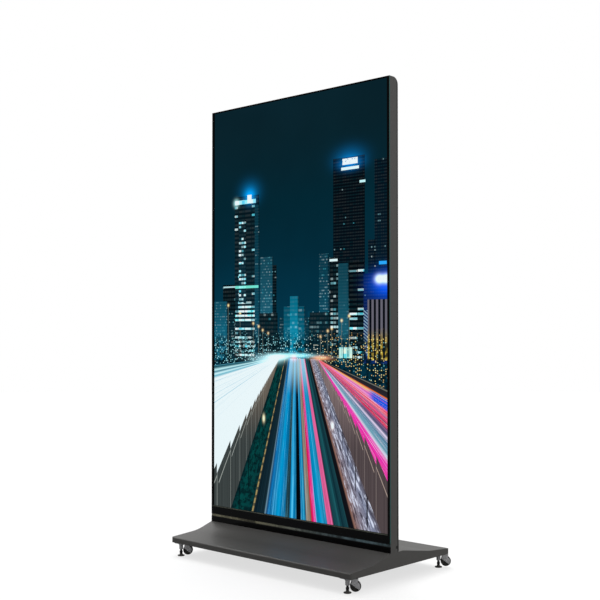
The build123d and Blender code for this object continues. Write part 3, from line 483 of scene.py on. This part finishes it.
# ------------------------------------------------------------------ the picture on the display
def picture_material():
    """A night street of our own: plain towers with lit windows, and light trails running to the horizon."""
    g = Graph("display_picture")
    x, y, z = g.coords()

    # layout is drawn on a 600 x 1067 grid, origin top left
    def X(u):
        return -PX + u * 2 * PX / 600.0

    def Z(v):
        return PZ1 - v * (PZ1 - PZ0) / 1067.0

    count = [0]

    def settle(c, every=3):
        """Ties what follows to what is already drawn, so that few values are held at the same time."""
        nonlocal x, z
        count[0] += 1
        if count[0] % every == 0:
            n = g.new("ShaderNodeSeparateColor")
            g.nt.links.new(c, n.inputs[0])
            hold = V(g, n.outputs[0]) * 1e-9
            x, z = x + hold, z + hold
        return c

    # sky
    tone = g.noise(g.vec(x, 0.0, z), 1.7, 3.0, 0.5)
    sky = g.ramp(g.step(z, Z(640), Z(40)), [(0.0, lin(0, 50, 70)), (0.35, lin(0, 39, 54)), (0.7, lin(0, 36, 48)), (1.0, lin(5, 31, 40))])
    col = g.gain(sky, (tone - 0.5) * 0.7 + 1.0)

    # window grids shared by the towers: luck per pane, 0 between the panes; whole floors tend to go together
    def grid(w, h, fx, fz, seed, bands):
        cx, cz = x / w + seed, z / h + seed * 1.7
        v = g.white(cx.floor(), cz.floor()) * (1 - bands) + g.white(cz.floor()) * bands
        return v * g.span(cx.fract(), 1 - fx, fx) * g.span(cz.fract(), 1 - fz, fz)

    small = grid(0.0090, 0.0135, 0.84, 0.72, 3.0, 0.25)
    office = grid(0.0165, 0.0190, 0.93, 0.76, 11.0, 0.45)
    bands = grid(0.0460, 0.0205, 0.97, 0.74, 23.0, 0.55)
    hue = g.white((x / 0.019).floor() + 0.5, (z / 0.021).floor() + 0.5)
    pane = g.mix(hue, lin(70, 205, 226), lin(236, 252, 250))
    low = g.step(z, Z(380), Z(560))                 # more people in near the street

    def tower(col, ua, ub, top, body, grid_v, density, shine, base=672, glint=0.25, lower=0.0):
        inside = g.span(x, X(ua), X(ub)) * g.span(z, Z(base), Z(top))
        edge = g.step(x, X(ub) - 0.010, X(ub)) * 0.5
        wall = g.gain(body, g.step(z, Z(top), Z(base)) * 0.8 + 0.6 - edge)
        cut = low * (-lower) + (1.0 - density)
        lit = (grid_v > cut) * ((grid_v - cut) * shine + glint) + (grid_v > 0.0) * 0.018
        wall = g.add(wall, g.gain(pane, lit))
        return settle(g.mix(inside, col, wall), 2)

    def glow(col, u, v, su, sv, colour, power):
        a = (x - X(u)) / (su * 2 * PX / 600.0)
        b = (z - Z(v)) / (sv * 2 * PX / 600.0)
        f = (0.0 - (a * a + b * b)).exp() * power
        return settle(g.add(col, g.gain(colour, f)))

    def bar_of(col, ua, ub, va, vb, colour, k=1.0):
        inside = g.span(x, X(ua), X(ub)) * g.span(z, Z(vb), Z(va))
        return settle(g.mix(inside * k, col, colour))

    # halo of the roof lights behind the towers
    col = glow(col, 138, 228, 34, 28, lin(0, 96, 150), 0.75)
    col = glow(col, 483, 176, 44, 26, lin(0, 92, 150), 0.75)

    # far low roofs across the whole width
    roof = g.white((x / 0.040).floor())
    far = z < (roof * 0.11 + Z(600))
    wall = g.add(g.gain(lin(0, 58, 78), roof * 0.8 + 0.25), g.gain(pane, (small > 0.70) * 0.30))
    col = g.mix(far * (z > Z(680)), col, wall)

    # left side
    col = tower(col, 177, 224, 402, lin(22, 84, 104), small, 0.34, 0.5, glint=0.10, lower=0.1)
    col = tower(col, 222, 236, 424, lin(0, 20, 30), small, 0.22, 1.2, glint=0.2)
    col = tower(col, 174, 240, 548, lin(2, 28, 38), office, 0.20, 0.6, glint=0.15)
    col = tower(col, 80, 172, 236, lin(3, 26, 36), bands, 0.24, 3.2, lower=0.42, glint=0.30)
    col = tower(col, 96, 124, 300, lin(4, 34, 46), office, 0.62, 2.2, base=520, glint=0.35)
    col = tower(col, 156, 173, 262, lin(6, 60, 78), small, 0.16, 0.8, glint=0.15)
    col = tower(col, 34, 82, 470, lin(0, 16, 24), office, 0.20, 0.8, glint=0.15)
    col = tower(col, -8, 52, 514, lin(14, 92, 116), small, 0.34, 0.4, glint=0.08)
    col = tower(col, 50, 80, 540, lin(2, 38, 50), small, 0.30, 0.5)
    # right side
    col = tower(col, 384, 416, 404, lin(8, 68, 88), small, 0.36, 0.5, glint=0.12, lower=0.1)
    col = tower(col, 430, 530, 173, lin(1, 10, 20), small, 0.07, 1.0, glint=0.22)
    col = tower(col, 476, 528, 428, lin(0, 9, 16), bands, 0.20, 2.8, lower=0.30, glint=0.35)
    col = tower(col, 418, 446, 414, lin(2, 18, 26), office, 0.26, 1.2, glint=0.2, lower=0.2)
    col = tower(col, 446, 480, 430, lin(18, 78, 96), small, 0.20, 0.4, glint=0.10)
    col = tower(col, 560, 604, 188, lin(1, 20, 34), small, 0.10, 0.9, glint=0.20)
    col = tower(col, 540, 562, 378, lin(1, 24, 40), small, 0.14, 0.9, glint=0.25)
    # plain stepped block in the middle distance
    col = tower(col, 246, 352, 560, lin(2, 58, 76), small, 0.26, 0.4, glint=0.10)
    col = tower(col, 262, 336, 532, lin(2, 96, 122), bands, 0.30, 0.6, glint=0.10)
    col = tower(col, 284, 314, 506, lin(4, 128, 158), office, 0.24, 0.5, glint=0.10)
    col = tower(col, 352, 420, 548, lin(2, 34, 46), office, 0.26, 0.5, glint=0.12)
    # corner block: blue-lit head, warm upright fins below
    col = tower(col, 526, 604, 458, lin(6, 34, 92), small, 0.10, 0.6, glint=0.2)
    col = glow(col, 598, 484, 44, 28, lin(0, 84, 235), 1.1)
    fins = g.span(x, X(538), X(604)) * g.span(z, Z(664), Z(520))
    fin = ((x / 0.024).fract() > 0.50)
    warm = g.mix(g.step(z, Z(585), Z(640)), lin(98, 96, 108), lin(206, 176, 66))
    col = g.mix(fins, col, g.mix(fin, lin(5, 10, 18), warm))
    slats = g.span(x, X(526), X(539)) * g.span(z, Z(650), Z(545)) * ((z / 0.014 + x / 0.02).fract() > 0.5)
    col = g.mix(slats, col, lin(120, 150, 168))

    # roof lights
    col = bar_of(col, 81, 160, 246, 257, g.mix(hue, lin(60, 190, 220), lin(225, 255, 255)))
    col = bar_of(col, 128, 144, 234, 256, lin(245, 255, 255))
    col = glow(col, 137, 238, 18, 17, lin(0, 140, 220), 1.2)
    col = glow(col, 86, 252, 9, 9, lin(190, 255, 255), 0.9)
    col = bar_of(col, 456, 512, 197, 204, lin(215, 240, 255))
    block = g.span(x, X(460), X(508)) * g.span(z, Z(191), Z(176)) * (g.noise(g.vec(x, 0.0, z), 130.0, 1.0, 0.5) > 0.36)
    col = g.mix(block, col, lin(240, 250, 255))
    col = glow(col, 484, 188, 30, 14, lin(0, 130, 215), 1.0)
    col = bar_of(col, 514, 532, 233, 239, lin(190, 240, 250))
    col = glow(col, 574, 472, 11, 9, lin(215, 235, 255), 2.0)
    col = glow(col, 594, 472, 11, 9, lin(215, 235, 255), 2.0)
    col = bar_of(col, 573, 596, 430, 438, lin(40, 160, 255))
    col = bar_of(col, 36, 82, 474, 478, lin(190, 230, 235), 0.8)
    col = bar_of(col, 82, 170, 474, 481, lin(120, 240, 220), 0.8)
    col = bar_of(col, 418, 444, 418, 424, lin(225, 248, 250), 0.9)

    # street level: a dark band full of small bright specks, cool to the left and warm to the right
    vor = g.new("ShaderNodeTexVoronoi", voronoi_dimensions="2D")
    g.put(vor.inputs["Vector"], g.vec(x, z * 1.25))
    vor.inputs["Scale"].default_value = 92.0
    vor.inputs["Randomness"].default_value = 1.0
    near = V(g, vor.outputs["Distance"])
    sep = g.new("ShaderNodeSeparateColor")
    g.nt.links.new(vor.outputs["Color"], sep.inputs[0])
    pick, pick2 = V(g, sep.outputs[0]), V(g, sep.outputs[1])
    reach = g.step(z, Z(585), Z(632))
    warmth = g.step(x, X(290), X(440))
    speck = g.mix(warmth * (pick2 > 0.30), lin(150, 238, 250), lin(255, 200, 120))
    trees = g.noise(g.vec(x, 0.0, z), 34.0, 4.0, 0.65)
    col = g.mix((reach * (g.step(trees, 0.42, 0.56) * 0.75 + 0.2)).clamp(), col, lin(1, 20, 27))
    col = g.add(col, g.gain(speck, g.step(near, 0.34, 0.04) * (pick > 0.60) * (pick2 * 1.5 + 0.1) * reach * 1.6))
    shop = g.span(x, X(448), X(492)) * g.span(z, Z(660), Z(634)) * ((x / 0.026).fract() > 0.16)
    col = g.mix(shop, col, g.mix(hue, lin(90, 210, 220), lin(225, 240, 220)))
    # street lamps: thin poles with warm heads
    for u, v, k in ((55, 525, 1.0), (101, 547, 0.9), (151, 574, 0.8), (171, 582, 0.8), (186, 592, 0.7), (206, 600, 0.6),
                    (457, 569, 0.9), (481, 558, 1.0), (425, 588, 0.8), (412, 594, 0.7), (388, 608, 0.6)):
        col = bar_of(col, u - 0.9, u + 0.9, v, 655, lin(120, 130, 120), 0.5)
        col = glow(col, u, v, 3.2, 3.2, lin(255, 214, 150), 1.3 * k)

    settle(col, 1)
    # ---- the road
    xc, zc = X(305), Z(534)
    xl, zl = X(250), Z(661)
    xr, zr = X(378), Z(663)
    kc = (x - xc) / (zc - z).max(0.001)                      # slope from each fan's own point
    depth = (Z(640) - z).max(0.004)
    far_c = 1.0 / depth                                       # perspective distance down the road

    def kramp(k, lo, hi, stops):
        return g.ramp((k - lo) / (hi - lo), [((p - lo) / (hi - lo), c) for p, c in stops])

    W = lin(255, 255, 255)
    mid = kramp(kc, -0.46, 0.20, [
        (-0.447, lin(2, 40, 44)), (-0.40, lin(2, 66, 64)), (-0.30, lin(4, 52, 54)), (-0.298, lin(168, 146, 92)), (-0.289, lin(140, 122, 82)),
        (-0.286, lin(8, 28, 38)), (-0.215, lin(18, 40, 50)), (-0.205, lin(96, 130, 150)), (-0.198, lin(20, 60, 96)), (-0.188, lin(10, 104, 166)),
        (-0.150, lin(24, 120, 170)), (-0.128, lin(0, 150, 206)), (-0.100, lin(0, 120, 176)), (-0.073, lin(6, 92, 134)), (-0.068, lin(30, 62, 72)),
        (-0.044, lin(24, 54, 66)), (-0.040, lin(0, 140, 200)), (-0.024, lin(60, 170, 214)), (-0.018, lin(0, 128, 186)), (0.001, lin(0, 96, 138)),
        (0.003, lin(0, 3, 8)), (0.031, lin(0, 4, 10)), (0.033, lin(0, 104, 158)), (0.052, lin(30, 150, 196)), (0.064, lin(2, 60, 90)),
        (0.069, lin(150, 132, 112)), (0.096, lin(120, 104, 92)), (0.101, lin(216, 24, 60)), (0.126, lin(226, 30, 150)), (0.131, lin(0, 120, 168)),
        (0.165, lin(0, 146, 196)),
    ])
    mid2 = kramp(kc, 0.12, 0.54, [
        (0.131, lin(0, 120, 168)), (0.160, lin(40, 150, 200)), (0.196, lin(0, 118, 158)), (0.201, lin(206, 84, 136)), (0.228, lin(232, 96, 150)),
        (0.236, lin(14, 44, 54)), (0.270, lin(26, 84, 92)), (0.290, lin(10, 40, 50)), (0.322, lin(22, 62, 70)), (0.328, lin(10, 14, 20)),
        (0.356, lin(16, 16, 22)), (0.364, lin(132, 96, 84)), (0.400, lin(128, 118, 130)), (0.470, lin(120, 126, 150)), (0.515, lin(84, 76, 84)),
    ])
    road = g.mix(kc > 0.165, mid, mid2)

    settle(road, 1)
    s1 = g.noise(dims="1D", w=kc * 120.0, scale=1.0, detail=4.0, rough=0.7)
    s2 = g.noise(dims="2D", vec=g.vec(kc * 210.0, z * 2.2), scale=1.0, detail=3.0, rough=0.6)
    lanes = g.span(kc, -0.283, 0.005) + g.span(kc, 0.03, 0.328)
    streak = ((s1 - 0.5) * 1.5 + (s2 - 0.5) * 1.3) * lanes + 1.0
    road = g.gain(road, streak.max(0.10))
    thin = g.step(s2, 0.60, 0.67) * (g.span(kc, -0.20, 0.0) + g.span(kc, 0.031, 0.20))
    road = g.mix((thin * 0.5).clamp(), road, lin(130, 222, 250))
    dash = (z * 26.0).fract() < 0.35
    road = g.mix((g.span(kc, -0.2985, -0.2865) * dash * 0.75).clamp(), road, lin(14, 34, 42))
    # the far end of the lanes is whiter
    road = g.mix((g.step(z, Z(760), Z(672)) * (s2 * 1.3) * g.span(kc, -0.16, 0.22) * 0.8).clamp(), road, lin(190, 232, 246))
    settle(road, 1)
    # planting on the left: rows of bushes and railings fading in the distance
    leaf = g.noise(dims="2D", vec=g.vec(kc * 34.0 + z * 3.0, z * 36.0), scale=1.0, detail=4.0, rough=0.75)
    green = kc < -0.298
    road = g.mix((g.step(leaf, 0.44, 0.58) * green * 0.8).clamp(), road, lin(1, 18, 24))
    posts = ((1.3 / ((X(262) - x).max(0.0) + 0.03)).fract() < 0.10) * g.span(kc, -0.455, -0.36)
    road = g.mix((posts * 0.8).clamp(), road, lin(2, 12, 18))
    # pale wall on the right with dark posts
    pale = g.span(kc, 0.372, 0.600)
    blot = g.noise(dims="2D", vec=g.vec(kc * 60.0, far_c * 1.6 + z * 9.0), scale=1.0, detail=4.0, rough=0.7)
    road = g.mix((g.step(blot, 0.52, 0.66) * pale * 0.9).clamp(), road, lin(214, 220, 240))
    road = g.mix((g.step(blot, 0.46, 0.38) * pale * 0.8).clamp(), road, lin(40, 36, 48))
    tall = ((1.3 / ((x - X(372)).max(0.0) + 0.03)).fract() < 0.10) * g.span(kc, 0.44, 0.52)
    road = g.mix((tall * 0.9).clamp(), road, lin(14, 14, 22))

    settle(road, 1)
    dl = (zl - z).max(0.0006)
    al = g.m("ARCTAN2", x - xl, dl) * (180.0 / math.pi)
    # left fan: ribbed wall with a stepped top, then the white flow
    lstep = 1.9 / ((xl - x).max(0.0) + 0.05)
    top_l = lstep.fract() * -2.6 - 36.9
    ribs = g.noise(dims="1D", w=x * 95.0, scale=1.0, detail=3.0, rough=0.65)
    wall_l = g.gain(g.mix(g.step(z, Z(900), Z(700)), lin(56, 62, 62), lin(104, 94, 84)), (ribs - 0.5) * 1.3 + 1.0)
    seam = (lstep.fract() < 0.035)
    wall_l = g.mix((seam * 0.6).clamp(), wall_l, lin(150, 156, 152))
    coping = g.span(al - top_l, 3.0, 3.45) * (lstep.fract() > 0.12)
    wall_l = g.mix((coping * 0.55).clamp(), wall_l, lin(190, 196, 190))
    w1 = g.noise(dims="1D", w=al * 0.9, scale=1.0, detail=5.0, rough=0.75)
    w2 = g.noise(dims="2D", vec=g.vec(al * 1.3, dl * 5.0), scale=1.0, detail=3.0, rough=0.6)
    flow_l = kramp(al, -90.0, -36.0, [
        (-86.0, lin(6, 34, 44)), (-82.5, lin(30, 84, 96)), (-81.0, lin(190, 236, 242)), (-80.0, lin(40, 110, 130)), (-78.6, lin(206, 240, 246)),
        (-77.4, lin(90, 170, 190)), (-75.6, W), (-66.0, W), (-40.0, W),
    ])
    ink = g.step(w1, 0.55, 0.66) * g.step(al, -46.0, -60.0) * 0.75 + g.step(w2, 0.60, 0.72) * g.step(al, -40.0, -66.0) * 0.5
    flow_l = g.mix(ink.clamp(), flow_l, lin(96, 176, 204))
    left = g.mix(al < top_l, wall_l, flow_l)

    settle(left, 1)
    dr = (zr - z).max(0.0006)
    ar = g.m("ARCTAN2", x - xr, dr) * (180.0 / math.pi)
    # right fan: ribbed wall with a stepped top, then the red and pink flow
    rstep = 1.9 / ((x - xr).max(0.0) + 0.05)
    top_r = rstep.fract() * 2.6 + 37.0
    wall_r = g.gain(g.mix(g.step(z, Z(900), Z(700)), lin(76, 66, 68), lin(120, 104, 104)), (ribs - 0.5) * 1.1 + 1.0)
    seam = (rstep.fract() < 0.03)
    wall_r = g.mix((seam * 0.5).clamp(), wall_r, lin(160, 146, 140))
    coping = g.span(top_r - ar, 3.0, 3.4) * (rstep.fract() > 0.15)
    wall_r = g.mix((coping * 0.55).clamp(), wall_r, lin(214, 190, 176))
    flow_r = kramp(ar, 36.0, 74.0, [
        (37.0, lin(226, 30, 150)), (42.5, lin(238, 60, 170)), (43.5, lin(206, 200, 220)), (45.0, lin(110, 160, 180)), (49.0, lin(84, 120, 150)),
        (50.2, lin(216, 200, 226)), (51.4, lin(70, 84, 116)), (53.4, lin(120, 80, 120)), (54.4, lin(232, 44, 80)), (55.6, lin(120, 60, 96)),
        (57.0, lin(240, 70, 120)), (58.4, lin(150, 96, 140)), (59.6, lin(250, 96, 110)), (61.0, lin(236, 60, 110)), (62.4, lin(255, 140, 190)),
        (63.6, lin(196, 110, 190)), (65.0, lin(246, 110, 160)), (66.4, lin(255, 196, 120)), (67.4, lin(250, 120, 60)), (68.2, lin(40, 36, 44)),
        (71.2, lin(30, 30, 36)), (71.8, lin(120, 120, 110)), (72.4, lin(12, 14, 18)),
    ])
    r1 = g.noise(dims="1D", w=ar * 1.7, scale=1.0, detail=4.0, rough=0.7)
    r2 = g.noise(dims="2D", vec=g.vec(ar * 2.6, dr * 4.0), scale=1.0, detail=3.0, rough=0.6)
    hot = g.span(ar, 37.0, 68.2)
    flow_r = g.gain(flow_r, (((r1 - 0.5) * 1.1 + (r2 - 0.5) * 1.3) * hot + 1.0).max(0.2))
    flow_r = g.mix((g.step(r2, 0.60, 0.70) * hot * 0.75).clamp(), flow_r, lin(255, 222, 236))
    blue = g.span(ar, 61.5, 67.0) * g.step(x, X(530), X(560)) * (r1 > 0.42)
    flow_r = g.mix(blue.clamp(), flow_r, lin(24, 84, 214))
    # close to the meeting point everything runs red
    flow_r = g.mix((g.step(dr, 0.06, 0.01) * g.span(ar, 45.0, 68.2) * 0.7).clamp(), flow_r, lin(255, 96, 96))
    right = g.mix(ar > top_r, wall_r, flow_r)

    settle(right, 1)
    is_l = kc < -0.447
    is_r = kc > 0.512
    ground = g.mix(is_l, g.mix(is_r, road, right), left)
    below = z < Z(664)
    open_l = below * (1.0 - is_l * (al < -84.0))
    open_all = open_l * (1.0 - is_r * (ar > 72.6))
    col = g.mix(open_all, col, ground)

    # soft light where the flows meet the horizon
    col = glow(col, 240, 661, 34, 7, lin(200, 250, 255), 1.6)
    col = glow(col, 205, 668, 46, 10, lin(190, 244, 255), 0.8)
    col = glow(col, 300, 656, 60, 5, lin(150, 236, 250), 1.2)
    col = glow(col, 298, 662, 10, 8, lin(255, 120, 150), 0.6)
    col = glow(col, 390, 661, 26, 5, lin(255, 170, 120), 1.1)
    col = glow(col, 190, 821, 4, 9, lin(255, 236, 190), 1.3)
    col = glow(col, 427, 826, 4, 8, lin(255, 240, 236), 1.5)

    inside = g.span(x, -PX, PX) * g.span(z, PZ0, PZ1)
    geo = g.new("ShaderNodeNewGeometry")
    vt = g.new("ShaderNodeVectorTransform", vector_type="NORMAL", convert_from="WORLD", convert_to="OBJECT")
    g.nt.links.new(geo.outputs["True Normal"], vt.inputs[0])
    sp = g.new("ShaderNodeSeparateXYZ")
    g.nt.links.new(vt.outputs[0], sp.inputs[0])
    front = V(g, sp.outputs[1]) < -0.5

    # the panel's own white is a little cool and never brighter than this
    limit = g.new("ShaderNodeVectorMath", operation="MINIMUM")
    g.put(limit.inputs[0], col)
    limit.inputs[1].default_value = (0.755, 0.845, 0.875)
    em = g.new("ShaderNodeEmission")
    g.put(em.inputs["Color"], limit.outputs[0])
    g.put(em.inputs["Strength"], 1.1)
    dull = g.new("ShaderNodeBsdfPrincipled")
    g.put(dull.inputs["Base Color"], g.gain(lin(5, 6, 7), (tone - 0.5) * 0.4 + 1.0))
    g.put(dull.inputs["Roughness"], 0.3)
    mx = g.new("ShaderNodeMixShader")
    g.put(mx.inputs[0], inside * front)
    g.nt.links.new(dull.outputs[0], mx.inputs[1])
    g.nt.links.new(em.outputs[0], mx.inputs[2])
    g.surface(mx.outputs[0])
    return g.mat


put_on(glass_material(), "cover_glass")
put_on(film_material(), "touch_film")
put_on(picture_material(), "lcd_cell")


# ------------------------------------------------------------------ studio
def floor_material():
    g = Graph("studio_floor")
    x, y, z = g.coords()
    lp = g.new("ShaderNodeLightPath")
    cam = V(g, lp.outputs["Is Camera Ray"])
    glossy = V(g, lp.outputs["Is Glossy Ray"])
    n = g.noise(g.point, 1.2, 3.0, 0.5)
    d = g.new("ShaderNodeBsdfDiffuse")
    tone = (n - 0.5) * 0.01 + 0.86
    level = tone * (cam * 0.62 + 0.38) * (1.0 - glossy * 0.30)
    g.put(d.inputs["Color"], g.gain((1.0, 1.0, 1.0, 1.0), level))
    # seen directly, the sweep is lit from behind, so only a soft shadow is left
    e = g.new("ShaderNodeEmission")
    m = g.new("ShaderNodeMixShader")
    g.put(m.inputs[0], cam * 0.70)
    g.nt.links.new(d.outputs[0], m.inputs[1])
    g.nt.links.new(e.outputs[0], m.inputs[2])
    g.surface(m.outputs[0])
    return g.mat


bm = bmesh.new()
ring = [bm.verts.new((14 * math.cos(i * math.pi / 32), 14 * math.sin(i * math.pi / 32), 0.0)) for i in range(64)]
bm.faces.new(ring)
mesh = bpy.data.meshes.new("studio_floor")
bm.to_mesh(mesh)
bm.free()
floor = bpy.data.objects.new("studio_floor", mesh)
scene.collection.objects.link(floor)
floor.location.z = cad_box[0][2] - 0.0005
floor.data.materials.append(floor_material())

world = bpy.data.worlds.new("studio")
scene.world = world
world.use_nodes = True
nt = world.node_tree
nt.nodes.clear()


def world_level():
    """Brightness of the room by direction: bright above, to the right and behind, dim in front of the screen."""
    tc = nt.nodes.new("ShaderNodeTexCoord")
    sx = nt.nodes.new("ShaderNodeSeparateXYZ")
    nt.links.new(tc.outputs["Generated"], sx.inputs[0])
    total = None
    for out, lo, hi, k in ((0, 0.10, 0.90, 0.39), (0, -0.30, -0.95, 0.16), (1, 0.05, 0.90, 0.34), (2, 0.25, 0.90, 0.80)):
        mr = nt.nodes.new("ShaderNodeMapRange")
        mr.interpolation_type = "SMOOTHSTEP"
        mr.inputs["From Min"].default_value = lo
        mr.inputs["From Max"].default_value = hi
        nt.links.new(sx.outputs[out], mr.inputs["Value"])
        ma = nt.nodes.new("ShaderNodeMath")
        ma.operation = "MULTIPLY_ADD"
        ma.inputs[1].default_value = k
        nt.links.new(mr.outputs[0], ma.inputs[0])
        if total is None:
            ma.inputs[2].default_value = 0.13
        else:
            nt.links.new(total, ma.inputs[2])
        total = ma.outputs[0]
    return total


wout = nt.nodes.new("ShaderNodeOutputWorld")
lp = nt.nodes.new("ShaderNodeLightPath")
bg_cam = nt.nodes.new("ShaderNodeBackground")
bg_cam.inputs[0].default_value = (1, 1, 1, 1)
bg_cam.inputs[1].default_value = 1.0
bg_room = nt.nodes.new("ShaderNodeBackground")
bg_room.inputs[0].default_value = (1, 1, 1, 1)
nt.links.new(world_level(), bg_room.inputs[1])
m2 = nt.nodes.new("ShaderNodeMixShader")
nt.links.new(lp.outputs["Is Camera Ray"], m2.inputs[0])
nt.links.new(bg_room.outputs[0], m2.inputs[1])
nt.links.new(bg_cam.outputs[0], m2.inputs[2])
nt.links.new(m2.outputs[0], wout.inputs[0])


def sun(name, direction, energy, angle):
    l = bpy.data.lights.new(name, "SUN")
    l.energy = energy
    l.angle = math.radians(angle)
    o = bpy.data.objects.new(name, l)
    scene.collection.objects.link(o)
    o.rotation_euler = Vector(direction).to_track_quat("Z", "Y").to_euler()
    return o


sun("overhead_soft", (-0.40, 0.22, 1.0), 2.0, 40)
sun("side_right", (1.0, -0.10, 0.45), 0.10, 30)

# ------------------------------------------------------------------ camera
cam = bpy.data.cameras.new("camera")
cam.sensor_width = 36.0
cam.sensor_fit = "HORIZONTAL"
FOCAL = 1031.88
cam.lens = FOCAL / 600.0 * 36.0
cam_o = bpy.data.objects.new("camera", cam)
scene.collection.objects.link(cam_o)
cam.shift_y = 12.0 / 600.0
cam_o.location = (3.17813, -3.45806, 1.03419)
cam_o.rotation_euler = (math.radians(91.1615), 0.0, math.radians(42.9472))
scene.camera = cam_o
scene.view_settings.view_transform = "Standard"
scene.view_settings.look = "None"
